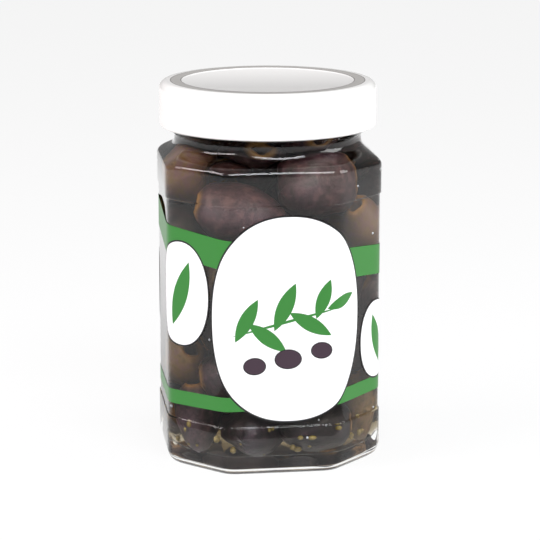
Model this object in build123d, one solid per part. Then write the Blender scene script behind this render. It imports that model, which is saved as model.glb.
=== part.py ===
from build123d import *
from math import cos, pi, sin
import os

# A shut twist-off jar of pitted olives in oil, with a clear wrap label.
# Lengths are in millimetres. The jar stands on z = 0, centred on the z axis, with its front facing -Y.
# The body has four wide facets (front, back, left, right) and four narrow ones between them.

# glass body
wide_apothem = 33.8  # axis to the middle of a wide facet, on the label panel
facet_bulge = 2.5  # the narrow facets lie this much further from the axis than the wide ones
facet_corner_radius = 7.6  # rounding of the upright corners between facets
band_step = 0.4  # the heel and shoulder bands stand this proud of the label panel
heel_band_top = 16.5
shoulder_band_height = 9.2
shoulder_height = 7.5  # the facets swing in to the round neck over this height
narrow_fullness = 1.6  # above 1, the narrow facets and corners stay full for longer in the swing
heel_radius = 4.8
wall = 2.2
base_thickness = 5.3
punt_inset = 8.4  # from a wide facet to the hollow under the base, inside the ring that the jar stands on
punt_depth = 1.8
inner_heel_radius = 6.5

# glass mouth
neck_inset = 4.1  # from a wide facet in to the neck
neck_wall = 2.6
glass_height = 119.75
neck_height = 16.85  # rim down to the top of the shoulder
finish_height = 14.95  # rim down to the foot of the ring that carries the thread
finish_step = 2.1  # the ring that carries the thread stands out this far from the neck
finish_round = 0.9
thread_count = 4
thread_span = 62.0  # degrees that each thread ridge covers
thread_depth = 1.1
thread_height = 1.8
thread_slope = 0.3  # the ridge's flanks draw in by this much
thread_drop = 8.55  # rim down to the foot of the thread ridges

# steel lid
sheet = 0.4
lid_height = 14.2
lid_seat_gap = 0.1  # lid sheet above the glass rim, where the sealing liner is squeezed
lid_side_gap = 1.1  # between the thread ridges and the lid's side
lid_corner_radius = 2.5
lid_step_inset = 4.8  # from the outside of the thread's ring to the panel that is pressed down a little
lid_step = 0.35
curl_radius = 0.8  # the rolled lower edge
lug_span = 16.0  # degrees
lug_clearance = 0.25  # between a lug and the glass behind it
lug_gap = 0.3  # below the thread ridge that it holds
lug_height = 1.0

# label film and oil
film = 0.12
film_gap = 0.03
label_margin = 0.6  # bare glass between the label and each band
oil_gap = 0.15  # between the oil and the glass, so that they don't overlap
oil_headspace = 3.6  # from the oil up to the lid

# sizes that follow from the ones above
narrow_apothem = wide_apothem + facet_bulge
punt_radius = wide_apothem - punt_inset
neck_radius = wide_apothem - neck_inset
bore_radius = neck_radius - neck_wall
finish_radius = neck_radius + finish_step
lid_step_radius = finish_radius - lid_step_inset
shoulder_top = glass_height - neck_height
shoulder_start = shoulder_top - shoulder_height
shoulder_band_bottom = shoulder_start - shoulder_band_height
finish_bottom = glass_height - finish_height
thread_bottom = glass_height - thread_drop
lid_inner_radius = finish_radius + thread_depth + lid_side_gap
lid_radius = lid_inner_radius + sheet
lid_underside = glass_height + lid_seat_gap
lid_top = lid_underside + sheet + lid_step
lid_bottom = lid_top - lid_height
oil_level = lid_underside - oil_headspace

shoulder_rings = 8  # plans that the shoulder is drawn through
nearly_round = 0.985  # corner radius over radius of the shoulder's last plan, which still has short flats
merge = 1.0  # pieces that are joined into one reach this far into each other


def facet_ring(wide, narrow, corner):
    """Face with the plan of the body: four wide and four narrow flats with rounded corners."""
    half_width = narrow * 2**0.5 - wide
    corners = []
    for turn in range(4):
        for side in (-half_width, half_width):
            corners.append(Vector(side, -wide, 0).rotate(Axis.Z, 90 * turn))
    plan = make_face(Polyline(*corners, close=True))
    return fillet(plan.vertices(), corner)


def upright(grow, bottom, top):
    """Prism of the body's plan, grown outwards by grow, between two heights."""
    plan = facet_ring(wide_apothem + grow, narrow_apothem + grow, facet_corner_radius + grow)
    return extrude(Pos(0, 0, bottom) * plan, amount=top - bottom)


def shoulder(grow, throat):
    """Swing from the body's plan, grown by grow, to a round throat."""
    plans = []
    for index in range(shoulder_rings + 1):
        rise = index / shoulder_rings
        swing = (1 - cos(pi * rise)) / 2
        late_swing = swing**narrow_fullness
        wide = wide_apothem + grow
        narrow = narrow_apothem + grow
        corner = facet_corner_radius + grow
        plan = facet_ring(
            wide + (throat - wide) * swing,
            narrow + (throat - narrow) * late_swing,
            corner + (throat * nearly_round - corner) * late_swing,
        )
        plans.append(Pos(0, 0, shoulder_start + (shoulder_top - shoulder_start) * rise) * plan)
    return loft(plans)


def loop_edges(solid, height):
    """The edges of a solid that lie flat at one height."""
    flat = 1e-4
    return [
        edge for edge in solid.edges()
        if edge.bounding_box().size.Z < flat and abs(edge.center().Z - height) < flat
    ]


def turned(*points, rounds=()):
    """Solid turned about the z axis from radius and height pairs, with some corners rounded."""
    section = make_face(Polyline(*[(radius, 0, height) for radius, height in points], close=True))
    for (radius, height), size in rounds:
        corner = section.vertices().sort_by_distance((radius, 0, height))[0]
        section = fillet(corner, size)
    return revolve(section, Axis.Z)


def sector(span):
    """Upright wedge centred on the +X side, for cutting a stretch out of something turned."""
    far = 2 * lid_radius
    half = span / 2 * pi / 180
    side = (far * cos(half), far * sin(half))
    plan = make_face(Polyline((0, 0), (side[0], -side[1]), side, close=True))
    return extrude(plan, glass_height + lid_height)


def outer_body():
    """The body's outside, from the ring it stands on up to the foot of the neck."""
    step_round = band_step * 0.9
    heel = upright(band_step, 0, heel_band_top)
    heel = fillet(loop_edges(heel, 0), heel_radius)
    heel = fillet(loop_edges(heel, heel_band_top), step_round)
    panel = upright(0, heel_band_top - merge, shoulder_band_bottom + merge)
    band = upright(band_step, shoulder_band_bottom, shoulder_start)
    band = fillet(loop_edges(band, shoulder_band_bottom), step_round)
    return heel + panel + band + shoulder(band_step, neck_radius)


def cavity(gap, top):
    """The jar's inside, drawn in by gap and filled up to a height."""
    inset = -(wall + gap)
    floor = base_thickness + gap
    body = fillet(loop_edges(upright(inset, floor, shoulder_start), floor), inner_heel_radius)
    throat = bore_radius - gap
    bore = Pos(0, 0, shoulder_top) * extrude(Circle(throat), top - shoulder_top)
    return body + shoulder(inset, throat) + bore


def mouth():
    """Neck, ring, thread ridges and rim."""
    neck = turned(
        (0, shoulder_top - merge), (neck_radius, shoulder_top - merge), (neck_radius, finish_bottom - finish_round),
        (finish_radius, finish_bottom + finish_round), (finish_radius, glass_height), (0, glass_height),
        rounds=[((finish_radius, glass_height), finish_round)],
    )
    ridge_radius = finish_radius + thread_depth
    thread_top = thread_bottom + thread_height
    ridge = turned(
        (finish_radius - merge, thread_bottom), (ridge_radius, thread_bottom + thread_slope),
        (ridge_radius, thread_top - thread_slope), (finish_radius - merge, thread_top),
    )
    for index in range(thread_count):
        neck = neck + Rot(0, 0, index * 360 / thread_count) * (ridge & sector(thread_span))
    return neck


def jar():
    """Hollow glass jar with a punt in its base."""
    punt = turned(
        (0, -merge), (punt_radius, -merge), (punt_radius, 0), (punt_radius - 2 * punt_depth, punt_depth),
        (0, punt_depth),
    )
    return outer_body() + mouth() - cavity(0, glass_height + merge) - punt


def lid():
    """Twist-off lid: pressed panel, deep side, rolled lower edge and the lugs that hold the thread."""
    panel_top = lid_underside + sheet
    shell = turned(
        (0, panel_top), (lid_step_radius, panel_top), (lid_step_radius + lid_step, lid_top), (lid_radius, lid_top),
        (lid_radius, lid_bottom + curl_radius), (lid_inner_radius, lid_bottom + curl_radius),
        (lid_inner_radius, lid_top - sheet), (lid_step_radius + lid_step, lid_top - sheet),
        (lid_step_radius, lid_underside), (0, lid_underside),
        rounds=[
            ((lid_radius, lid_top), lid_corner_radius),
            ((lid_inner_radius, lid_top - sheet), lid_corner_radius - sheet),
        ],
    )
    curl_section = Plane.XZ * Pos(lid_radius - curl_radius, lid_bottom + curl_radius) * Circle(curl_radius)
    lug_top = thread_bottom - lug_gap
    lug_tip = finish_radius + lug_clearance
    lug_root = lid_radius - sheet / 2
    lug = turned(
        (lug_tip, lug_top - lug_height), (lug_root, lug_top - lug_height), (lug_root, lug_top), (lug_tip, lug_top),
    )
    whole = shell + revolve(curl_section, Axis.Z)
    for index in range(thread_count):
        whole = whole + Rot(0, 0, index * 360 / thread_count) * (lug & sector(lug_span))
    return whole


def label():
    """Clear printed film wrapped once round the label panel."""
    bottom = heel_band_top + label_margin
    top = shoulder_band_bottom - label_margin
    return upright(film_gap + film, bottom, top) - upright(film_gap, bottom - merge, top + merge)


def oil():
    """The oil with the olives in it, as one body that fills the jar up to the oil level."""
    return cavity(oil_gap, oil_level)


os.makedirs("parts", exist_ok=True)
for name, build in {"jar": jar, "lid": lid, "label": label, "oil": oil}.items():
    export_step(build(), f"parts/{name}.step")
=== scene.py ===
"""A shut jar of pitted olives in oil: its glass, lid, label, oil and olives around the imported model.

Blender works in metres. Sizes here are in millimetres and go through mm().
The jar stands on z = 0, centred on the z axis, with its front facing -Y.
"""

import math

import bmesh
import bpy
import numpy as np
from bpy.props import FloatProperty, FloatVectorProperty, IntProperty, PointerProperty
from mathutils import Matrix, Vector


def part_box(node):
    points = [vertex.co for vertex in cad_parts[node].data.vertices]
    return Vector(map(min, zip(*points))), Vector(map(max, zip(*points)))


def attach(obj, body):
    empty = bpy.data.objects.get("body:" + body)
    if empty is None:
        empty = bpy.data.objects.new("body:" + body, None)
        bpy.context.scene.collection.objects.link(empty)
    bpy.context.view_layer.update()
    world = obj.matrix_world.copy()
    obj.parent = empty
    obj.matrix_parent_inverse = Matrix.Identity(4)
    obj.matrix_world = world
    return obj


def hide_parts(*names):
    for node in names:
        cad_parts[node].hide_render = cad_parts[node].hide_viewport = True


bl_info = {
    "name": "Jar of olives",
    "version": (1, 0, 0),
    "blender": (4, 5, 0),
    "location": "3D view > Sidebar > Olives",
    "description": "Builds a faceted jar of olives in oil piece by piece",
    "category": "Object",
}

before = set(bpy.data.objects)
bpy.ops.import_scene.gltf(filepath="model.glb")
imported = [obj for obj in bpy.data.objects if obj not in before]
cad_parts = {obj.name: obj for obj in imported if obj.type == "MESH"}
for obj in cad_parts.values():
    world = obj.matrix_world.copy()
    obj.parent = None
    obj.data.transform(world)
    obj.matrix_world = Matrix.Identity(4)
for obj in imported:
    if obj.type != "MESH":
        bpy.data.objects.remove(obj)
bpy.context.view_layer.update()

MM = 0.001
ROOT = "root"
AROUND = 288  # points round the glass
FACETS = 8  # wide and narrow in turn
FRONT_TURN = math.pi / 2  # brings the first wide facet round to face -Y
CENTRE = 0.01  # radius of the small ring that closes a shape on its axis
MERGE = 0.02  # points nearer than this become one

# Parts of the glass that no size in the sidebar changes
PUNT_DEPTH = 1.8  # hollow under the base
PUNT_RADIUS = 21.8
PUNT_FOOT = (24.6, 0.45)  # radius and height where the hollow meets the ring that the jar stands on
STAND_RADIUS = 26.2
BAND_MARGIN = 0.6  # bare glass between the label and each band
BAND_EDGE = 0.5  # height over which a band stands out from the panel
INNER_HEEL_RADIUS = 6.5
FLOOR_RADIUS = 15.0  # the inside floor rises from here to its middle
FLOOR_RISE = 0.3
NECK_TOP = 103.9  # the neck turns outwards here
FINISH_RADIUS = 31.8  # ring that carries the thread
FINISH_LOW = 106.0  # that ring stands full from here
FINISH_SOFT = 0.2  # rounding where that ring leaves the neck
THREAD_LOW, THREAD_HIGH = 111.5, 112.7
THREAD_DEPTH = 1.1
THREAD_FLANK = 0.5
THREAD_HALF = 31.0  # degrees from a ridge's middle to its end
THREAD_TAPER = 3.0  # degrees over which its end runs out
RIM_ROUND = 0.9  # rounding of the rim's outer edge
RIM_BEVEL = (0.25, 0.3)  # a point on that rounding, in from the side and down from the top
RIM_INNER = 0.7  # rounding of the rim's inner edge

# Pieces around the glass
FILM_STANDS = 0.12  # label film off the panel
OIL_REACH = 0.25  # the oil reaches this far into the wall, so that no air gap shows
LID_PANEL = 27.0  # radius of the panel that is pressed down
LID_STEP = 0.35
LID_RING = (27.3, 30.9)  # inner and outer radius of the printed ring
LID_RING_LINE = 0.3  # darker line at each edge of it

# How the olives settle
SETTLE_CYCLES, FAST_CYCLES = 420, 300
FAST_FALL, SLOW_FALL = 0.25, 0.05  # millimetres in a cycle
NEIGHBOUR_REACH = 26  # olives with middles further apart don't touch
CLOSENESS = 0.97  # olives press into each other a little
OLIVE_PUSH, WALL_PUSH = 0.22, 0.5  # share of a lap that one cycle mends
MOVE, TURN = 1.6, 1.2  # how freely a pushed olive moves and turns
BODY_REACH = 33.5  # room round the axis below the shoulder
SWING_FROM, SWING_OVER = 95, 7  # that room narrows to the bore from this height, over this much

# Label print, in millimetres round the film from the middle of the front, and up from the floor
BAND_REACH = 110.0  # the bands run this far each way
GREEN_BANDS = ((80.5, -0.10, 9.5), (21.0, 0.03, 4.6))  # height where it starts, slope, width
OVAL_LINE = 0.55
FRONT_OVAL = ((2.5, 50.5), (25.5, 33.0))  # centre, then half its width and height
FRONT_OVAL_POWER = 2.25
SIDE_OVALS = (
    ((-35.0, 57.0), (11.5, 17.0)), ((38.0, 40.0), (9.0, 13.0)),
    ((-96.0, 52.0), (24.0, 28.0)), ((96.0, 52.0), (24.0, 28.0)),
)
SIDE_OVAL_POWER = 2.1
SPRIG = (  # stem, then leaves: centre, half its length and width, tilt in degrees
    ((2.0, 50.0), (19.0, 0.45), 14), ((-11.0, 50.6), (7.6, 2.3), 62), ((-4.5, 45.0), (7.6, 2.3), -38),
    ((1.0, 54.6), (8.2, 2.5), 66), ((9.0, 49.0), (7.6, 2.3), -30), ((13.0, 56.8), (6.6, 2.1), 70),
    ((19.5, 55.6), (5.6, 1.8), 20), ((-35.0, 57.0), (11.0, 2.8), 72), ((38.0, 40.0), (8.5, 2.3), 105),
)
PRINTED_OLIVES = (((2.0, 38.0), (4.3, 3.2)), ((-8.5, 36.0), (3.6, 2.8)), ((12.5, 40.5), (3.4, 2.7)))
PRINTED_OLIVE_LINE = 0.3


def node_mm(node):
    """Lowest and highest corner of a CAD node, in millimetres."""
    low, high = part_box(node)
    return np.array(low) / MM, np.array(high) / MM


JAR_LOW, JAR_HIGH = node_mm("jar")
LID_LOW, LID_HIGH = node_mm("lid")
LABEL_LOW, LABEL_HIGH = node_mm("label")
OIL_LOW, OIL_HIGH = node_mm("oil")


# ---------------------------------------------------------------- sizes and colours


def length(name, description, default, low=0.0, high=200.0):
    """A size in millimetres that the sidebar shows."""
    return FloatProperty(name=name, description=description, default=default, min=low, max=high)


def to_linear(text):
    """Linear colour with alpha from an sRGB hex value."""
    values = [int(text[i : i + 2], 16) / 255 for i in (0, 2, 4)]
    return tuple(v / 12.92 if v <= 0.04045 else ((v + 0.055) / 1.055) ** 2.4 for v in values) + (1.0,)


def colour(name, description, default):
    """A colour that the sidebar shows, from an sRGB hex value."""
    return FloatVectorProperty(
        name=name, description=description, subtype="COLOR",
        size=4, min=0, max=1, default=to_linear(default),
    )


class OlivesGlassSizes(bpy.types.PropertyGroup):
    """Sizes of the glass, in millimetres."""

    wide_apothem: length("Wide facet", "Axis to a wide facet on the label panel", 33.8)
    narrow_apothem: length("Narrow facet", "Axis to a narrow facet on the label panel", 36.3)
    corner_sharpness: length("Corner sharpness", "Higher makes the upright corners sharper", 41.0)
    band_step: length("Band step", "Heel and shoulder bands stand this proud of the panel", 0.4)
    heel_radius: length("Heel radius", "Rounding under the heel band", 4.8)
    wall: length("Wall", "Thickness of the glass", 2.2)
    base_thickness: length("Base", "Height of the inside floor", 5.3)
    neck_radius: length("Neck radius", "Outside of the neck", 29.7)
    bore_radius: length("Bore radius", "Inside of the mouth", 27.1)
    shoulder_start: length("Shoulder start", "The facets swing in from here", 95.4)
    shoulder_top: length("Shoulder top", "The swing ends in the neck here", 102.9)


class OlivesFruitSizes(bpy.types.PropertyGroup):
    """Sizes and number of the olives."""

    count: IntProperty(name="Count", description="Olives in the jar", default=62, min=1, max=200)
    radius: length("Radius", "Half the width of a middling olive", 8.5)
    stretch: length("Stretch", "Length over width of a middling olive", 1.38)
    seed: IntProperty(name="Seed", description="Fixed start of every random draw", default=7)


class OlivesColours(bpy.types.PropertyGroup):
    """Colours of the parts."""

    lid_white: colour("Lid white", "Gloss enamel of the lid", "F4F3F0")
    lid_ring: colour("Lid ring", "Grey ring printed on the lid's top", "B4B1AC")
    label_white: colour("Label white", "White ink", "FBFBFB")
    label_green: colour("Label green", "Green ink", "2F7D2D")
    label_black: colour("Label black", "Black ink", "141214")
    oil_tint: colour("Oil", "Colour that a centimetre of oil lets through", "A8924A")
    dark_skin: colour("Dark skin", "Ripe olive skin", "2A1A22")
    brown_skin: colour("Brown skin", "Less ripe olive skin", "4A3A22")
    flesh: colour("Flesh", "Cut flesh at the pit holes", "B98D4A")


# ---------------------------------------------------------------- shapes


def mm(value):
    """Metres from millimetres."""
    return value * MM


def new_mesh(name, points, faces, materials, smooth=True):
    """Object from points in millimetres and faces, with its materials."""
    mesh = bpy.data.meshes.new(name)
    mesh.from_pydata([tuple(float(v) * MM for v in p) for p in points], [], faces)
    mesh.validate()
    for material in materials:
        mesh.materials.append(material)
    for polygon in mesh.polygons:
        polygon.use_smooth = smooth
    thing = bpy.data.objects.new(name, mesh)
    bpy.context.scene.collection.objects.link(thing)
    return thing


def facet_reach(angle, wide, narrow, sharpness):
    """Distance from the axis to the body's plan at an angle: eight flats with soft corners."""
    total = 0.0
    for index in range(FACETS):
        apothem = wide if index % 2 == 0 else narrow
        lean = math.cos(angle - index * 2 * math.pi / FACETS)
        if lean > 0:
            total += (lean / apothem) ** sharpness
    return total ** (-1 / sharpness)


def body_ring(sizes, grow, swing=0.0, throat=0.0, late=1.6):
    """Radii of the plan grown by grow, swung towards a round throat."""
    radii = []
    soft_swing = swing**late
    for step in range(AROUND):
        angle = step * 2 * math.pi / AROUND
        wide = sizes.wide_apothem + grow
        narrow = sizes.narrow_apothem + grow
        reach = facet_reach(
            angle,
            wide + (throat - wide) * swing,
            narrow + (throat - narrow) * soft_swing,
            sizes.corner_sharpness,
        )
        radii.append(reach + (throat - reach) * soft_swing)
    return radii


def round_ring(radius):
    """Radii of a circle."""
    return [radius] * AROUND


def swing_rings(sizes, grow, throat, steps=14):
    """Shoulder rings from the facets up to a round throat, with their heights."""
    rings = []
    for step in range(steps + 1):
        rise = step / steps
        swing = (1 - math.cos(math.pi * rise)) / 2
        height = sizes.shoulder_start + (sizes.shoulder_top - sizes.shoulder_start) * rise
        rings.append((body_ring(sizes, grow, swing, throat), height))
    return rings


def eased(share):
    """Share from 0 to 1 that starts and ends gently."""
    return share * share * (3 - 2 * share)


def heel_rings(sizes):
    """Hollow under the base, the ring that the jar stands on, and the heel's rounding."""
    profile = ((CENTRE, PUNT_DEPTH), (PUNT_RADIUS, PUNT_DEPTH), PUNT_FOOT, (STAND_RADIUS, 0.0))
    rings = [(round_ring(radius), height) for radius, height in profile]
    steps = 9
    for turn in range(steps + 1):
        angle = turn / steps * math.pi / 2
        inset = sizes.heel_radius * (1 - math.sin(angle))
        height = sizes.heel_radius * (1 - math.cos(angle))
        rings.append((body_ring(sizes, sizes.band_step - inset), height))
    return rings


def panel_rings(sizes):
    """Label panel between the heel band and the shoulder band, which stand proud of it."""
    band = sizes.band_step
    heel_edge = LABEL_LOW[2] - BAND_MARGIN - BAND_EDGE
    shoulder_edge = LABEL_HIGH[2] + BAND_MARGIN
    rings = [(body_ring(sizes, band), heel_edge)]
    steps = 4
    for turn in range(1, steps + 1):
        share = turn / steps
        rings.append((body_ring(sizes, band * (1 - eased(share))), heel_edge + BAND_EDGE * share))
    for turn in range(steps + 1):
        share = turn / steps
        rings.append((body_ring(sizes, band * eased(share)), shoulder_edge + BAND_EDGE * share))
    return rings


def thread_share(degrees):
    """How much of the thread ridge stands at an angle: four ridges with tapered ends."""
    off_centre = abs((degrees + 45) % 90 - 45)
    return min(max((THREAD_HALF - off_centre) / THREAD_TAPER, 0.0), 1.0)


def finish_rings(sizes):
    """Neck, the ring that carries the thread, its four ridges and the rim."""
    rim = JAR_HIGH[2]
    below = (
        (sizes.neck_radius, NECK_TOP),
        (sizes.neck_radius + FINISH_SOFT, NECK_TOP + FINISH_SOFT),
        (FINISH_RADIUS - FINISH_SOFT, FINISH_LOW - 2 * FINISH_SOFT),
        (FINISH_RADIUS, FINISH_LOW),
        (FINISH_RADIUS, THREAD_LOW - THREAD_FLANK),
    )
    above = (
        (FINISH_RADIUS, THREAD_HIGH + THREAD_FLANK),
        (FINISH_RADIUS, rim - RIM_ROUND),
        (FINISH_RADIUS - RIM_BEVEL[0], rim - RIM_BEVEL[1]),
        (FINISH_RADIUS - RIM_ROUND, rim),
        (sizes.bore_radius + RIM_INNER, rim),
    )
    ridge = [FINISH_RADIUS + THREAD_DEPTH * thread_share(s * 360 / AROUND) for s in range(AROUND)]
    rings = [(round_ring(radius), height) for radius, height in below]
    rings += [(ridge, THREAD_LOW), (ridge, THREAD_HIGH)]
    return rings + [(round_ring(radius), height) for radius, height in above]


def outer_rings(sizes):
    """Outside of the glass from the middle of the base to the rim."""
    shoulder = swing_rings(sizes, sizes.band_step, sizes.neck_radius)
    return heel_rings(sizes) + panel_rings(sizes) + shoulder + finish_rings(sizes)


def inner_rings(sizes, grow, top):
    """Inside of the glass from the mouth down to the middle of the floor, moved out by grow."""
    bore = sizes.bore_radius + grow
    rings = [(round_ring(bore), top), (round_ring(bore), sizes.shoulder_top + 1)]
    rings += reversed(swing_rings(sizes, grow - sizes.wall, bore))
    floor = sizes.base_thickness - grow
    steps = 9
    for turn in range(steps + 1):
        angle = turn / steps * math.pi / 2
        inset = INNER_HEEL_RADIUS * (1 - math.cos(angle))
        height = floor + INNER_HEEL_RADIUS * (1 - math.sin(angle))
        rings.append((body_ring(sizes, grow - sizes.wall - inset), height))
    rings += [(round_ring(FLOOR_RADIUS), floor + FLOOR_RISE), (round_ring(CENTRE), floor + 2 * FLOOR_RISE)]
    return rings


def ring_mesh(name, rings, materials, slots=None):
    """Closed shape through rings of radii and heights; slots names each span's material."""
    points = []
    for radii, height in rings:
        for step, radius in enumerate(radii):
            angle = step * 2 * math.pi / AROUND - FRONT_TURN
            points.append((radius * math.cos(angle), radius * math.sin(angle), height))
    faces = []
    spans = []
    for row in range(len(rings) - 1):
        for step in range(AROUND):
            after = (step + 1) % AROUND
            low, high = row * AROUND, (row + 1) * AROUND
            faces.append((low + step, low + after, high + after, high + step))
            spans.append(row)
    thing = new_mesh(name, points, faces, materials)
    if slots:
        for polygon, span in zip(thing.data.polygons, spans):
            polygon.material_index = slots[span]
    work = bmesh.new()
    work.from_mesh(thing.data)
    bmesh.ops.remove_doubles(work, verts=work.verts, dist=mm(MERGE))
    bmesh.ops.holes_fill(work, edges=work.edges, sides=AROUND)
    bmesh.ops.recalc_face_normals(work, faces=work.faces)
    work.to_mesh(thing.data)
    work.free()
    return thing


# ---------------------------------------------------------------- materials


def new_material(name):
    """Empty node material with its output."""
    material = bpy.data.materials.new(name)
    material.use_nodes = True
    tree = material.node_tree
    tree.nodes.clear()
    return material, tree, tree.nodes.new("ShaderNodeOutputMaterial")


def add(tree, kind, settings=None, **inputs):
    """Adds a node, sets its properties, and sets or links its inputs by name or number (in0, in1)."""
    node = tree.nodes.new(kind)
    for key, value in (settings or {}).items():
        setattr(node, key, value)
    for key, value in inputs.items():
        name = key.replace("_", " ")
        socket = node.inputs[int(key[2:])] if key[:2] == "in" and key[2:].isdigit() else node.inputs[name]
        if isinstance(value, bpy.types.NodeSocket):
            tree.links.new(value, socket)
        else:
            socket.default_value = value
    return node


def maths(tree, operation, first, second=0.0):
    """Output of one Math node."""
    return add(tree, "ShaderNodeMath", {"operation": operation}, in0=first, in1=second).outputs[0]


def mixed(tree, share, first, second):
    """Colour between two, by share."""
    node = add(tree, "ShaderNodeMix", {"data_type": "RGBA"})
    for socket, value in ((node.inputs[0], share), (node.inputs[6], first), (node.inputs[7], second)):
        if isinstance(value, bpy.types.NodeSocket):
            tree.links.new(value, socket)
        else:
            socket.default_value = value
    return node.outputs[2]


def ramp(tree, value, *stops):
    """Colour ramp through (place, colour) stops."""
    node = add(tree, "ShaderNodeValToRGB", Fac=value)
    band = node.color_ramp
    while len(band.elements) < len(stops):
        band.elements.new(0.5)
    for element, (place, shade) in zip(band.elements, stops):
        element.position = place
        element.color = shade
    return node.outputs[0]


def lets_lamps_through(tree, output, shader):
    """Glass that lamps shine through, so that what it holds is lit."""
    path = add(tree, "ShaderNodeLightPath")
    clear = add(tree, "ShaderNodeBsdfTransparent", Color=(0.96, 0.97, 0.95, 1))
    lamp_ray = path.outputs["Is Shadow Ray"]
    mix = add(tree, "ShaderNodeMixShader", in0=lamp_ray, in1=shader, in2=clear.outputs[0])
    tree.links.new(mix.outputs[0], output.inputs["Surface"])


def flint_glass():
    """Blown soda-lime flint glass: clear and colourless, with bright hard reflections."""
    material, tree, output = new_material("flint_glass_blown")
    shader = add(
        tree, "ShaderNodeBsdfPrincipled",
        Base_Color=(0.985, 0.99, 0.985, 1), Roughness=0.0, IOR=1.5, Transmission_Weight=1.0,
    )
    lets_lamps_through(tree, output, shader.outputs[0])
    return material


def wetted_glass():
    """Glass where oil wets it: the two bend light alike, so that the surface nearly disappears."""
    material, tree, output = new_material("glass_wetted_by_oil")
    shader = add(
        tree, "ShaderNodeBsdfPrincipled",
        Base_Color=(1, 1, 1, 1), Roughness=0.0, IOR=1.01, Transmission_Weight=1.0,
    )
    lets_lamps_through(tree, output, shader.outputs[0])
    return material


def olive_oil(colours):
    """Olive oil with the fruit's juices: dark greenish gold, deeper where there is more of it."""
    material, tree, output = new_material("olive_oil")
    shader = add(
        tree, "ShaderNodeBsdfPrincipled",
        Base_Color=(1, 1, 1, 1), Roughness=0.0, IOR=1.01, Transmission_Weight=1.0,
    )
    lets_lamps_through(tree, output, shader.outputs[0])
    depth = add(tree, "ShaderNodeVolumeAbsorption", Color=tuple(colours.oil_tint), Density=95.0)
    tree.links.new(depth.outputs[0], output.inputs["Volume"])
    return material


def olive_skin(name, deep, pale, colours):
    """Cured olive skin: waxy and mottled, with the cut flesh showing at the pit holes, mixed back towards
    skin colour deeper in them as painted shade.
    """
    material, tree, output = new_material(name)
    place = add(tree, "ShaderNodeTexCoord").outputs["Object"]
    own = add(tree, "ShaderNodeAttribute", {"attribute_name": "tone"}).outputs["Fac"]
    cut = add(tree, "ShaderNodeAttribute", {"attribute_name": "cut"}).outputs["Fac"]
    # The mottling's patches are about 2.4 mm across, and the pale specks about 0.4 mm.
    coarse = {"Scale": 420.0, "Detail": 6.0, "Roughness": 0.62}
    fine = {"Scale": 2600.0, "Detail": 3.0, "Roughness": 0.6}
    mottle = add(tree, "ShaderNodeTexNoise", Vector=place, **coarse).outputs["Fac"]
    speck = add(tree, "ShaderNodeTexNoise", Vector=place, **fine).outputs["Fac"]
    blotch = maths(tree, "ADD", maths(tree, "MULTIPLY", mottle, 0.9), maths(tree, "MULTIPLY", own, 0.55))
    skin = ramp(
        tree, blotch,
        (0.42, to_linear("120B10")), (0.58, tuple(deep)), (0.74, pale), (0.98, to_linear("6E4E52")),
    )
    dotted = maths(tree, "GREATER_THAN", speck, 0.66)
    skin = mixed(tree, maths(tree, "MULTIPLY", dotted, 0.35), skin, to_linear("9A7F7A"))
    flesh = mixed(tree, mottle, to_linear("8E6234"), tuple(colours.flesh))
    # The cut share falls deeper in each pit hole, which darkens it there towards skin colour: painted shade.
    shown = mixed(tree, cut, skin, flesh)
    height = maths(tree, "ADD", mottle, maths(tree, "MULTIPLY", speck, 0.3))
    bump = add(tree, "ShaderNodeBump", Strength=0.45, Distance=0.0006, Height=height)
    rough = maths(tree, "ADD", maths(tree, "MULTIPLY", mottle, 0.25), 0.22)
    shader = add(
        tree, "ShaderNodeBsdfPrincipled",
        Base_Color=shown, Roughness=rough, IOR=1.45, Normal=bump.outputs[0],
    )
    tree.links.new(shader.outputs[0], output.inputs["Surface"])
    return material


def gloss_enamel(colours):
    """Stoved gloss enamel on tinplate: white with soft broad reflections and a printed grey ring."""
    material, tree, output = new_material("stoved_enamel_on_tinplate")
    place = add(tree, "ShaderNodeTexCoord").outputs["Object"]
    parts = add(tree, "ShaderNodeSeparateXYZ", Vector=place)
    x_squared = maths(tree, "POWER", parts.outputs[0], 2.0)
    y_squared = maths(tree, "POWER", parts.outputs[1], 2.0)
    across = maths(tree, "SQRT", maths(tree, "ADD", x_squared, y_squared))
    on_top = maths(tree, "GREATER_THAN", parts.outputs[2], mm(LID_HIGH[2] - 1.0))
    inside = maths(tree, "LESS_THAN", across, mm(LID_RING[1]))
    outside = maths(tree, "GREATER_THAN", across, mm(LID_RING[0]))
    ring = maths(tree, "MULTIPLY", on_top, maths(tree, "MULTIPLY", inside, outside))
    middle, half = (LID_RING[0] + LID_RING[1]) / 2, (LID_RING[1] - LID_RING[0]) / 2
    off_middle = maths(tree, "ABSOLUTE", maths(tree, "SUBTRACT", across, mm(middle)))
    near_edge = maths(tree, "GREATER_THAN", off_middle, mm(half - LID_RING_LINE))
    ring_shade = mixed(tree, near_edge, tuple(colours.lid_ring), to_linear("7E7B77"))
    shade = mixed(tree, ring, tuple(colours.lid_white), ring_shade)
    ripple = add(tree, "ShaderNodeTexNoise", Vector=place, Scale=900.0, Detail=2.0).outputs["Fac"]
    bump = add(tree, "ShaderNodeBump", Strength=0.03, Distance=0.0002, Height=ripple)
    shader = add(
        tree, "ShaderNodeBsdfPrincipled",
        Base_Color=shade, Roughness=0.22, IOR=1.5, Normal=bump.outputs[0],
    )
    shader.inputs["Coat Weight"].default_value = 0.4
    shader.inputs["Coat Roughness"].default_value = 0.08
    tree.links.new(shader.outputs[0], output.inputs["Surface"])
    return material


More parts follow.
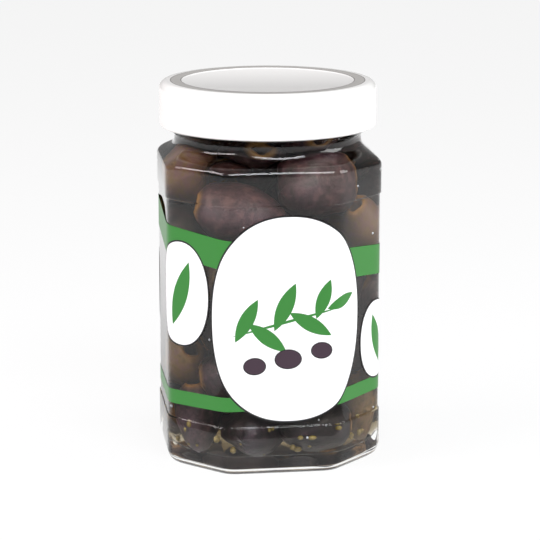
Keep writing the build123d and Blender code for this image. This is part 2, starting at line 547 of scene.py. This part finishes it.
class Inks:
    """Ink fields laid one over another on flat film, in millimetres along it and up it."""

    def __init__(self, tree, flat, colours):
        parts = add(tree, "ShaderNodeSeparateXYZ", Vector=flat)
        self.tree, self.across, self.up = tree, parts.outputs[0], parts.outputs[1]
        self.black = tuple(colours.label_black)
        self.shade, self.cover = tuple(colours.label_white), 0.0

    def lay(self, inside, fill):
        """Lays a fill over what is printed so far."""
        self.shade = mixed(self.tree, inside, self.shade, fill)
        self.cover = maths(self.tree, "MAXIMUM", inside, self.cover)

    def within(self, centre, size, power):
        """1 inside an oval, with squarer corners for a higher power."""
        tree = self.tree
        total = 0.0
        for place, middle, half in ((self.across, centre[0], size[0]), (self.up, centre[1], size[1])):
            off = maths(tree, "ABSOLUTE", maths(tree, "SUBTRACT", place, middle))
            total = maths(tree, "ADD", total, maths(tree, "POWER", maths(tree, "DIVIDE", off, half), power))
        return maths(tree, "LESS_THAN", maths(tree, "POWER", total, 1 / power), 1.0)

    def field(self, centre, size, power, line, fill):
        """Lays one oval field with a black outline."""
        outer = self.within(centre, size, power)
        inner = self.within(centre, (size[0] - line, size[1] - line), power)
        self.lay(outer, mixed(self.tree, inner, self.black, fill))

    def band(self, height, slope, width, fill):
        """Lays a straight band right round; height is its middle where the film starts."""
        tree = self.tree
        along = maths(tree, "SUBTRACT", self.across, -BAND_REACH)
        middle = maths(tree, "ADD", height, maths(tree, "MULTIPLY", along, slope))
        off = maths(tree, "ABSOLUTE", maths(tree, "SUBTRACT", self.up, middle))
        near = maths(tree, "LESS_THAN", off, width / 2)
        after = maths(tree, "GREATER_THAN", self.across, -BAND_REACH)
        before = maths(tree, "LESS_THAN", self.across, BAND_REACH)
        self.lay(maths(tree, "MULTIPLY", near, maths(tree, "MULTIPLY", after, before)), fill)

    def leaf(self, centre, size, tilt, fill):
        """Lays one leaf, pointed at both ends and turned by tilt degrees."""
        tree = self.tree
        lean, rise = math.cos(math.radians(tilt)), math.sin(math.radians(tilt))
        x = maths(tree, "SUBTRACT", self.across, centre[0])
        y = maths(tree, "SUBTRACT", self.up, centre[1])
        along = maths(tree, "ADD", maths(tree, "MULTIPLY", x, lean), maths(tree, "MULTIPLY", y, rise))
        off = maths(tree, "SUBTRACT", maths(tree, "MULTIPLY", y, lean), maths(tree, "MULTIPLY", x, rise))
        share = maths(tree, "ABSOLUTE", maths(tree, "DIVIDE", along, size[0]))
        edge = maths(tree, "SUBTRACT", 1.0, maths(tree, "POWER", share, 2.0))
        edge = maths(tree, "MULTIPLY", edge, size[1])
        self.lay(maths(tree, "LESS_THAN", maths(tree, "ABSOLUTE", off), edge), fill)


def printed_film(colours):
    """Clear polypropylene film with screen-printed inks: flat opaque fields on clear gloss."""
    material, tree, output = new_material("clear_film_with_printed_inks")
    flat = add(tree, "ShaderNodeUVMap", {"uv_map": "wrap"}).outputs[0]
    clear = add(tree, "ShaderNodeBsdfTransparent").outputs[0]
    white, green = tuple(colours.label_white), tuple(colours.label_green)
    inks = Inks(tree, flat, colours)
    for height, slope, width in GREEN_BANDS:
        inks.band(height, slope, width, green)
    for centre, size in SIDE_OVALS:
        inks.field(centre, size, SIDE_OVAL_POWER, OVAL_LINE, white)
    inks.field(FRONT_OVAL[0], FRONT_OVAL[1], FRONT_OVAL_POWER, OVAL_LINE, white)
    for centre, size, tilt in SPRIG:
        inks.leaf(centre, size, tilt, green)
    for centre, size in PRINTED_OLIVES:
        inks.field(centre, size, 2.0, PRINTED_OLIVE_LINE, to_linear("3A2634"))
    grain = add(tree, "ShaderNodeTexNoise", Vector=flat, Scale=0.8, Detail=2.0).outputs["Fac"]
    bump = add(tree, "ShaderNodeBump", Strength=0.02, Distance=0.0001, Height=grain)
    ink = add(
        tree, "ShaderNodeBsdfPrincipled",
        Base_Color=inks.shade, Roughness=0.35, IOR=1.48, Normal=bump.outputs[0],
    )
    mix = add(tree, "ShaderNodeMixShader", in0=inks.cover, in1=clear, in2=ink.outputs[0])
    tree.links.new(mix.outputs[0], output.inputs["Surface"])
    return material


def plain(name, shade, roughness, **more):
    """Simple material with fine mottling."""
    material, tree, output = new_material(name)
    place = add(tree, "ShaderNodeTexCoord").outputs["Object"]
    grain = add(tree, "ShaderNodeTexNoise", Vector=place, Scale=700.0, Detail=4.0).outputs["Fac"]
    dim = tuple(v * 0.6 for v in shade[:3]) + (1.0,)
    shader = add(
        tree, "ShaderNodeBsdfPrincipled",
        Base_Color=mixed(tree, grain, dim, shade), Roughness=roughness, **more,
    )
    tree.links.new(shader.outputs[0], output.inputs["Surface"])
    return material


# ---------------------------------------------------------------- olives


def settle_olives(sizes, glass):
    """Places, directions and sizes of olives that lie packed in the jar, by pushing overlaps apart."""
    draw = np.random.default_rng(sizes.seed)
    number = sizes.count
    radius = sizes.radius * draw.uniform(0.90, 1.12, number)
    half = radius * (sizes.stretch * draw.uniform(0.92, 1.1, number) - 1)
    low = glass.base_thickness + 0.4
    top = OIL_HIGH[2] - 1.0
    place = np.stack([
        draw.uniform(-20, 20, number), draw.uniform(-20, 20, number), np.linspace(low + 8, top + 10, number)
    ], 1)
    aim = draw.normal(size=(number, 3)) * (1, 1, 0.6)
    aim /= np.linalg.norm(aim, axis=1)[:, None]
    wide = glass.wide_apothem - glass.wall - 0.05
    narrow = glass.narrow_apothem - glass.wall - 0.05
    walls = []
    for index in range(FACETS):
        angle = index * math.pi / 4
        walls.append((math.cos(angle), math.sin(angle), wide if index % 2 == 0 else narrow))
    ends = np.array([-1.0, 0.0, 1.0])
    for cycle in range(SETTLE_CYCLES):
        place[:, 2] -= FAST_FALL if cycle < FAST_CYCLES else SLOW_FALL
        balls = place[:, None, :] + aim[:, None, :] * (half[:, None] * ends)[:, :, None]
        push = np.zeros_like(balls)
        gap = place[:, None, :] - place[None, :, :]
        close = np.argwhere(np.triu(np.linalg.norm(gap, axis=2) < NEIGHBOUR_REACH, 1))
        first, second = close[:, 0], close[:, 1]
        for a in range(3):
            for b in range(3):
                between = balls[first, a] - balls[second, b]
                distance = np.linalg.norm(between, axis=1) + 1e-9
                lap = np.clip((radius[first] + radius[second]) * CLOSENESS - distance, 0, None)
                shift = between / distance[:, None] * (lap * OLIVE_PUSH)[:, None]
                np.add.at(push, (first, np.full(len(first), a)), shift)
                np.add.at(push, (second, np.full(len(second), b)), -shift)
        for x, y, reach in walls:
            slack = reach - radius[:, None] - (balls[:, :, 0] * x + balls[:, :, 1] * y)
            push[:, :, 0] += np.clip(slack, None, 0) * x * WALL_PUSH
            push[:, :, 1] += np.clip(slack, None, 0) * y * WALL_PUSH
        neck = np.clip((balls[:, :, 2] + radius[:, None] * 0.6 - SWING_FROM) / SWING_OVER, 0, 1)
        limit = BODY_REACH - (BODY_REACH - glass.bore_radius) * neck - radius[:, None]
        out = np.hypot(balls[:, :, 0], balls[:, :, 1]) + 1e-9
        over = np.clip(limit - out, None, 0) * WALL_PUSH
        push[:, :, 0] += balls[:, :, 0] / out * over
        push[:, :, 1] += balls[:, :, 1] / out * over
        push[:, :, 2] += np.clip(low + radius[:, None] - balls[:, :, 2], 0, None) * WALL_PUSH
        push[:, :, 2] += np.clip(top - radius[:, None] - balls[:, :, 2], None, 0) * WALL_PUSH
        place += push.mean(1) * MOVE
        torque = (push * ends[None, :, None]).mean(1)
        torque -= aim * np.sum(torque * aim, axis=1)[:, None]
        aim += torque / (half[:, None] + 2.0) * TURN
        aim /= np.linalg.norm(aim, axis=1)[:, None]
    return place, aim, radius, half


def olive_points(radius, half, draw, rows=22, columns=28):
    """One pitted olive along +Z: egg shape, lumpy dented skin and a punched hole at the top."""
    length_half = radius + half
    hole = radius * draw.uniform(0.30, 0.42)
    depth = radius * 0.9
    dents = draw.normal(size=(5, 3))
    dents /= np.linalg.norm(dents, axis=1)[:, None]
    dent_size = draw.uniform(0.02, 0.075, 5) * radius
    waves = draw.uniform(0, 2 * math.pi, 3)
    hole_wave = draw.uniform(0, 2 * math.pi)
    points, cut = [], []
    rim_angle = math.asin(min(hole / radius, 0.9))
    for row in range(rows + 1):
        polar = math.pi - (math.pi - rim_angle) * row / rows
        for column in range(columns):
            turn = column * 2 * math.pi / columns
            level = math.sin(polar)
            way = np.array([level * math.cos(turn), level * math.sin(turn), math.cos(polar)])
            width = radius * (1 + 0.05 * way[2])
            point = way * (width, width, length_half)
            lump = 0.018 * math.sin(3 * turn + waves[0] + 2 * way[2])
            lump += 0.014 * math.sin(5 * way[2] * 2 + waves[1] + turn)
            lump += 0.012 * math.sin(7 * turn + 6 * way[2] + waves[2])
            point = point * (1 + lump)
            for dent, size in zip(dents, dent_size):
                point = point - way * size * math.exp(-(1 - float(way @ dent)) * 9)
            points.append(point)
            cut.append(1.0 if row == rows else (0.35 if row == rows - 1 else 0.0))
    top = points[-columns][2]
    # Deeper rings of the hole show less flesh and more dark skin colour: painted shade down the pit hole.
    for share, sink, flesh_share_with_painted_shade in ((0.86, 0.05, 1.0), (0.8, 0.35, 0.9), (0.72, 0.8, 0.5), (0.3, 1.0, 0.3)):
        for column in range(columns):
            turn = column * 2 * math.pi / columns
            ragged = 1 + 0.10 * math.sin(4 * turn + hole_wave) * (1 - sink)
            edge = hole * share * ragged
            points.append(np.array([edge * math.cos(turn), edge * math.sin(turn), top - depth * sink]))
            cut.append(flesh_share_with_painted_shade)
    rings = rows + 1 + 4
    faces = []
    for row in range(rings - 1):
        for column in range(columns):
            after = (column + 1) % columns
            low, high = row * columns, (row + 1) * columns
            faces.append((low + column, low + after, high + after, high + column))
    faces.append(tuple(reversed(range(columns))))
    last = (rings - 1) * columns
    faces.append(tuple(last + column for column in range(columns)))
    return points, faces, cut


def turned_to(direction, draw):
    """Rotation that brings +Z to a direction, with a chance turn about it and a chance flip."""
    axis = np.array(direction) * (1 if draw.random() < 0.5 else -1)
    side = np.cross(axis, draw.normal(size=3))
    side /= np.linalg.norm(side)
    return np.stack([side, np.cross(axis, side), axis], 1)


def olive_heap(name, chosen, settled, material, draw, tone):
    """One mesh with the chosen olives, each with its own tone."""
    place, aim, radius, half = settled
    points, faces, cuts, tones = [], [], [], []
    for index in chosen:
        own_points, own_faces, own_cut = olive_points(radius[index], half[index], draw)
        spin = turned_to(aim[index], draw)
        start = len(points)
        points += [spin @ p + place[index] for p in own_points]
        faces += [tuple(start + i for i in face) for face in own_faces]
        cuts += own_cut
        tones += [float(np.clip(draw.normal(tone, 0.22), 0, 1))] * len(own_points)
    thing = new_mesh(name, points, faces, [material])
    for label, values in (("cut", cuts), ("tone", tones)):
        attribute = thing.data.attributes.new(label, "FLOAT", "POINT")
        attribute.data.foreach_set("value", np.array(values, np.float32))
    return thing


# ---------------------------------------------------------------- operators


class PieceOperator:
    """What every piece's operator shares."""

    bl_options = {"REGISTER"}

    def execute(self, context):
        self.make(context.scene)
        return {"FINISHED"}


class OLIVES_OT_glass(PieceOperator, bpy.types.Operator):
    """Makes the faceted glass jar"""

    bl_idname = "olives.glass"
    bl_label = "Glass jar"

    def make(self, scene):
        sizes = scene.olives_glass
        outside = outer_rings(sizes)
        inside = inner_rings(sizes, 0.0, JAR_HIGH[2] - RIM_INNER)
        rings = outside + inside
        slots = [1 if row >= len(outside) else 0 for row in range(len(rings) - 1)]
        glass = ring_mesh("glass_jar", rings, [flint_glass(), wetted_glass()], slots)
        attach(glass, ROOT)
        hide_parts("jar")


class OLIVES_OT_oil(PieceOperator, bpy.types.Operator):
    """Makes the oil that fills the jar"""

    bl_idname = "olives.oil"
    bl_label = "Oil"

    def make(self, scene):
        rings = inner_rings(scene.olives_glass, OIL_REACH, OIL_HIGH[2])
        rings.insert(0, (round_ring(CENTRE), OIL_HIGH[2]))
        oil = ring_mesh("olive_oil", rings, [olive_oil(scene.olives_colours)])
        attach(oil, ROOT)
        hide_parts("oil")


class OLIVES_OT_fruit(PieceOperator, bpy.types.Operator):
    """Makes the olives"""

    bl_idname = "olives.fruit"
    bl_label = "Olives"

    def make(self, scene):
        fruit, colours = scene.olives_fruit, scene.olives_colours
        settled = settle_olives(fruit, scene.olives_glass)
        draw = np.random.default_rng(fruit.seed + 1)
        brown = set(draw.choice(fruit.count, fruit.count // 6, replace=False).tolist())
        dark = [i for i in range(fruit.count) if i not in brown]
        dark_skin = olive_skin("cured_olive_skin_dark", colours.dark_skin, to_linear("432C36"), colours)
        brown_skin = olive_skin("cured_olive_skin_brown", colours.brown_skin, to_linear("6E5630"), colours)
        for name, chosen, skin, tone in (
            ("olives_dark", dark, dark_skin, 0.35), ("olives_brown", sorted(brown), brown_skin, 0.55)
        ):
            heap = olive_heap(name, chosen, settled, skin, draw, tone)
            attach(heap, ROOT)


class OLIVES_OT_label(PieceOperator, bpy.types.Operator):
    """Makes the clear printed wrap label"""

    bl_idname = "olives.label"
    bl_label = "Label"

    def make(self, scene):
        sizes = scene.olives_glass
        radii = body_ring(sizes, FILM_STANDS)
        low, high = LABEL_LOW[2], LABEL_HIGH[2]
        columns = AROUND + 1
        points, along = [], []
        travelled, before = 0.0, None
        for step in range(columns):
            angle = step * 2 * math.pi / AROUND + math.pi / 2
            radius = radii[(step + AROUND // 2) % AROUND]
            here = (radius * math.cos(angle), radius * math.sin(angle))
            travelled += math.dist(before, here) if before else 0.0
            before = here
            points.append(here)
            along.append(travelled)
        rows = [low, high]
        verts = [(x, y, z) for z in rows for x, y in points]
        faces = [(s, s + 1, columns + s + 1, columns + s) for s in range(AROUND)]
        film = new_mesh("label_film", verts, faces, [printed_film(scene.olives_colours)])
        middle = travelled / 2
        wrap = film.data.uv_layers.new(name="wrap")
        for loop in film.data.loops:
            row, step = divmod(loop.vertex_index, columns)
            wrap.data[loop.index].uv = (along[step] - middle, rows[row])
        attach(film, ROOT)
        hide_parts("label")


class OLIVES_OT_lid(PieceOperator, bpy.types.Operator):
    """Makes the twist-off lid"""

    bl_idname = "olives.lid"
    bl_label = "Lid"

    def make(self, scene):
        outer, low, top = LID_HIGH[0], LID_LOW[2], LID_HIGH[2]
        sheet, corner, curl = 0.4, 2.5, 0.8
        soft = 0.05  # rounding of the pressed step's two edges
        profile = [(CENTRE, top - LID_STEP), (LID_PANEL - 0.2, top - LID_STEP)]
        profile += [(LID_PANEL, top - LID_STEP + soft), (LID_PANEL + 0.3, top - soft), (LID_PANEL + 0.5, top)]
        for turn in range(0, 9):
            angle = turn / 8 * math.pi / 2
            across, down = corner * (1 - math.sin(angle)), corner * (1 - math.cos(angle))
            profile.append((outer - across, top - down))
        for turn in range(0, 13):
            angle = turn / 12 * math.pi * 1.5
            profile.append((outer - curl + curl * math.cos(angle), low + curl - curl * math.sin(angle)))
        inner = outer - sheet
        profile += [(outer - 1.5 * curl, low + 2.3 * curl), (inner, low + 3.2 * curl)]
        profile.append((inner, top - corner))
        for turn in range(0, 7):
            angle = math.pi / 2 * (1 - turn / 6)
            size = corner - sheet
            across, down = size * (1 - math.sin(angle)), size * (1 - math.cos(angle))
            profile.append((inner - across, top - sheet - down))
        profile += [(LID_PANEL + 0.3, top - sheet), (LID_PANEL, top - sheet - LID_STEP)]
        profile.append((CENTRE, top - sheet - LID_STEP))
        rings = [(round_ring(radius), height) for radius, height in profile]
        cap = ring_mesh("twist_off_lid", rings, [gloss_enamel(scene.olives_colours)])
        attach(cap, ROOT)
        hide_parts("lid")


class OLIVES_OT_bits(PieceOperator, bpy.types.Operator):
    """Makes the bits of olive and the small bubbles that lie in the oil, the bubbles as opaque pale balls in
    a painted glint
    """

    bl_idname = "olives.bits"
    bl_label = "Bits and bubbles"

    def make(self, scene):
        glass = scene.olives_glass
        draw = np.random.default_rng(scene.olives_fruit.seed + 2)
        for name, count, size, heights, shade, slot in (
            ("olive_bits", 60, (0.5, 1.7), (6.5, 16.0), to_linear("877540"), "olive_skin"),
            # The bubbles are opaque pale blue-white balls: this colour is a painted glint, standing in for
            # the light that clear air bubbles in oil throw back.
            ("oil_bubbles_painted_glint", 46, (0.25, 0.55), (8.0, 100.0), to_linear("D9DCE6"), "olive_oil"),
        ):
            work = bmesh.new()
            for _ in range(count):
                angle = draw.uniform(0, 2 * math.pi)
                height = draw.uniform(*heights)
                plan = facet_reach(angle, glass.wide_apothem, glass.narrow_apothem, glass.corner_sharpness)
                reach = plan - glass.wall
                radius = draw.uniform(*size)
                inset = max(0.0, INNER_HEEL_RADIUS - (height - glass.base_thickness)) * 0.7
                distance = reach - radius * 0.8 - inset
                made = bmesh.ops.create_icosphere(work, subdivisions=2, radius=mm(radius))
                squeeze = draw.uniform(0.5, 1.0, 3) if slot == "olive_skin" else np.ones(3)
                centre = (distance * math.cos(angle), distance * math.sin(angle), height)
                for vert in made["verts"]:
                    vert.co = [c * s + mm(p) for c, s, p in zip(vert.co, squeeze, centre)]
            mesh = bpy.data.meshes.new(name)
            work.to_mesh(mesh)
            work.free()
            mesh.materials.append(plain(name + "_surface", shade, 0.25))
            for polygon in mesh.polygons:
                polygon.use_smooth = True
            thing = bpy.data.objects.new(name, mesh)
            scene.collection.objects.link(thing)
            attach(thing, ROOT)


class OLIVES_OT_stage(PieceOperator, bpy.types.Operator):
    """Sets the floor, the lamps, the world and the camera"""

    bl_idname = "olives.stage"
    bl_label = "Stage"

    def make(self, scene):
        scene.view_settings.view_transform = "Standard"
        self.floor()
        self.world(scene)
        self.lamp("key_softbox", (0.10, -0.60, 0.72), (0.62, 0.30), 6.0, (0.94, 0.96, 1.0))
        self.lamp("side_softbox", (-0.66, -0.16, 0.62), (0.55, 0.30), 4.5, (1.0, 0.93, 0.95))
        self.lamp("right_softbox", (0.62, -0.10, 0.30), (0.30, 0.40), 2.0, (1.0, 1.0, 1.0))
        self.camera(scene)

    def floor(self):
        """White floor that glows towards the camera, glass and gloss, and keeps the jar's shadow."""
        material, tree, output = new_material("white_studio_floor")
        grain = add(tree, "ShaderNodeTexNoise", Scale=40.0).outputs["Fac"]
        shade = mixed(tree, grain, to_linear("F2F2F2"), to_linear("F6F6F6"))
        lit = add(tree, "ShaderNodeBsdfDiffuse", Color=shade)
        glow = add(tree, "ShaderNodeEmission", Color=(1, 1, 1, 1), Strength=1.0)
        path = add(tree, "ShaderNodeLightPath")
        seen = maths(tree, "MAXIMUM", path.outputs["Is Camera Ray"], path.outputs["Is Glossy Ray"])
        seen = maths(tree, "MAXIMUM", seen, path.outputs["Is Transmission Ray"])
        share = maths(tree, "MULTIPLY", seen, 0.86)
        both = add(tree, "ShaderNodeMixShader", in0=share, in1=lit.outputs[0], in2=glow.outputs[0])
        tree.links.new(both.outputs[0], output.inputs["Surface"])
        size = 2500.0
        corners = [(-size, -size, 0), (size, -size, 0), (size, size, 0), (-size, size, 0)]
        new_mesh("studio_floor", corners, [(0, 1, 2, 3)], [material], smooth=False)

    def world(self, scene):
        """White room, seen bright but lighting the jar gently."""
        world = bpy.data.worlds.new("soft_white_room")
        scene.world = world
        world.use_nodes = True
        tree = world.node_tree
        tree.nodes.clear()
        output = tree.nodes.new("ShaderNodeOutputWorld")
        path = add(tree, "ShaderNodeLightPath")
        seen = maths(tree, "MAXIMUM", path.outputs["Is Camera Ray"], path.outputs["Is Transmission Ray"])
        strength = maths(tree, "ADD", maths(tree, "MULTIPLY", seen, 0.68), 0.32)
        sky = add(tree, "ShaderNodeBackground", Color=(1, 1, 1, 1), Strength=strength)
        tree.links.new(sky.outputs[0], output.inputs["Surface"])

    def lamp(self, name, place, size, power, shade):
        """Softbox aimed at the middle of the jar."""
        data = bpy.data.lights.new(name, "AREA")
        data.shape = "RECTANGLE"
        data.size, data.size_y = size
        data.energy = power
        data.color = shade
        thing = bpy.data.objects.new(name, data)
        bpy.context.scene.collection.objects.link(thing)
        thing.location = place
        aim = np.array((0, 0, 0.06)) - np.array(place)
        thing.rotation_euler = look_turn(aim)

    def camera(self, scene):
        """Camera a little left of the front and above the jar."""
        azimuth, distance, height = math.radians(-7.5), 0.697, 0.2206
        pitch, sideways, lens = math.radians(13.08), 0.00076, 147.9
        data = bpy.data.cameras.new("camera")
        data.lens = lens
        data.sensor_width = 36.0
        data.clip_start = 0.01
        thing = bpy.data.objects.new("camera", data)
        scene.collection.objects.link(thing)
        right = np.array((math.cos(azimuth), math.sin(azimuth)))
        forward = np.array((-math.sin(azimuth), math.cos(azimuth)))
        spot = -forward * distance + right * sideways
        thing.location = (spot[0], spot[1], height)
        thing.rotation_euler = (math.pi / 2 - pitch, 0, azimuth)
        scene.camera = thing


def look_turn(direction):
    """Euler turn that points a lamp along a direction."""
    return Vector(direction).to_track_quat("-Z", "Y").to_euler()


class OLIVES_PT_panel(bpy.types.Panel):
    """Lists the pieces of the jar in the sidebar"""

    bl_label = "Jar of olives"
    bl_idname = "OLIVES_PT_panel"
    bl_space_type = "VIEW_3D"
    bl_region_type = "UI"
    bl_category = "Olives"

    def draw(self, context):
        for operator in PIECES:
            self.layout.operator(operator.bl_idname)
        for group in ("olives_glass", "olives_fruit", "olives_colours"):
            holder = getattr(context.scene, group)
            for name in holder.bl_rna.properties.keys():
                if name not in ("rna_type", "name"):
                    self.layout.prop(holder, name)


GROUPS = (OlivesGlassSizes, OlivesFruitSizes, OlivesColours)
PIECES = (
    OLIVES_OT_stage, OLIVES_OT_glass, OLIVES_OT_oil, OLIVES_OT_fruit,
    OLIVES_OT_bits, OLIVES_OT_label, OLIVES_OT_lid,
)


def register():
    for each in GROUPS + PIECES + (OLIVES_PT_panel,):
        bpy.utils.register_class(each)
    bpy.types.Scene.olives_glass = PointerProperty(type=OlivesGlassSizes)
    bpy.types.Scene.olives_fruit = PointerProperty(type=OlivesFruitSizes)
    bpy.types.Scene.olives_colours = PointerProperty(type=OlivesColours)


def unregister():
    del bpy.types.Scene.olives_colours
    del bpy.types.Scene.olives_fruit
    del bpy.types.Scene.olives_glass
    for each in reversed(GROUPS + PIECES + (OLIVES_PT_panel,)):
        bpy.utils.unregister_class(each)


def main():
    """Builds every piece."""
    register()
    for operator in PIECES:
        group, name = operator.bl_idname.split(".")
        getattr(getattr(bpy.ops, group), name)()


if __name__ == "__main__":
    main()
